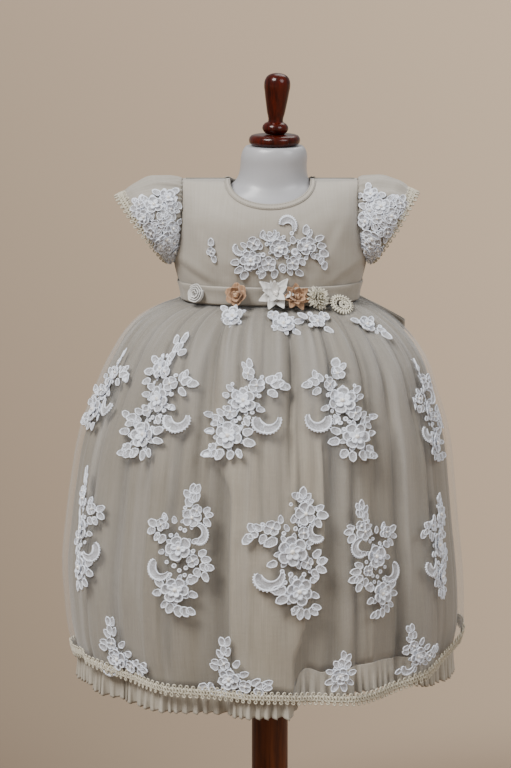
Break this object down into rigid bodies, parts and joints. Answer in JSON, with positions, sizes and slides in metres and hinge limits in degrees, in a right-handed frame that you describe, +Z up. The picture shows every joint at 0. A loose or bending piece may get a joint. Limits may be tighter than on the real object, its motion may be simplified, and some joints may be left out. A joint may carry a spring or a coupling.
{
  "type": "christening gown on a dress form",
  "caption": "Short-sleeved full-skirted christening gown with flowered belt and tulle overskirt, worn by a limbless dress form on a turned wooden stand.",
  "frame": {"origin": "centre of the flat underside of the stand's base", "axes": "+Z up along the pole, +X to the right seen from the front, the gown's front faces -Y"},
  "size_m": [0.4651, 0.4145, 0.9584],
  "materials": {
    "gown_cloth": "matt fine-woven grey-beige cloth with slubs",
    "taffeta": "beige taffeta with a soft sheen",
    "tulle": "sheer greyish tulle",
    "white_lace": "cool white corded floral lace with pearls",
    "ivory_braid": "ivory looped braid and guipure",
    "satin": "rolled beige-white satin",
    "tan_flower": "tan cloth petals",
    "petal": "white satin petals",
    "pearl": "pearl",
    "form_skin": "smooth satin white",
    "mahogany": "polished dark red-brown turned wood"
  },
  "bodies": {
    "root": {"back_button_1": "pearl", "back_button_2": "pearl", "back_button_3": "pearl", "back_button_4": "pearl", "belt_band": "gown_cloth", "belt_flower_petal": "petal", "belt_flower_tan_left": "tan_flower", "belt_flower_tan_right": "tan_flower", "belt_guipure_coil": "ivory_braid", "belt_lace_flower_left": "white_lace", "belt_lace_flower_middle": "white_lace", "belt_lace_flower_right": "white_lace", "belt_lace_spray": "white_lace", "belt_pompon": "ivory_braid", "belt_rosette": "satin", "bodice_back_left": "gown_cloth", "bodice_back_right": "gown_cloth", "bodice_front": "gown_cloth", "bodice_lace": "white_lace", "bow_knot": "gown_cloth", "bow_loop_left": "gown_cloth", "bow_loop_right": "gown_cloth", "bow_tail_left": "gown_cloth", "bow_tail_right": "gown_cloth", "cuff_braid_left": "ivory_braid", "cuff_braid_right": "ivory_braid", "form_torso": "form_skin", "frill_back": "taffeta", "frill_front": "taffeta", "hem_braid_back": "ivory_braid", "hem_braid_front": "ivory_braid", "neck_binding_back_left": "gown_cloth", "neck_binding_back_right": "gown_cloth", "neck_binding_front": "gown_cloth", "overskirt_back": "tulle", "overskirt_front": "tulle", "sleeve_lace_left": "white_lace", "sleeve_lace_right": "white_lace", "sleeve_left": "gown_cloth", "sleeve_right": "gown_cloth", "stand_base": "mahogany", "stand_collar": "mahogany", "stand_finial": "mahogany", "stand_neck_cap": "mahogany", "stand_pole": "mahogany", "underskirt_back": "taffeta", "underskirt_front": "taffeta"}
  },
  "joints": []
}
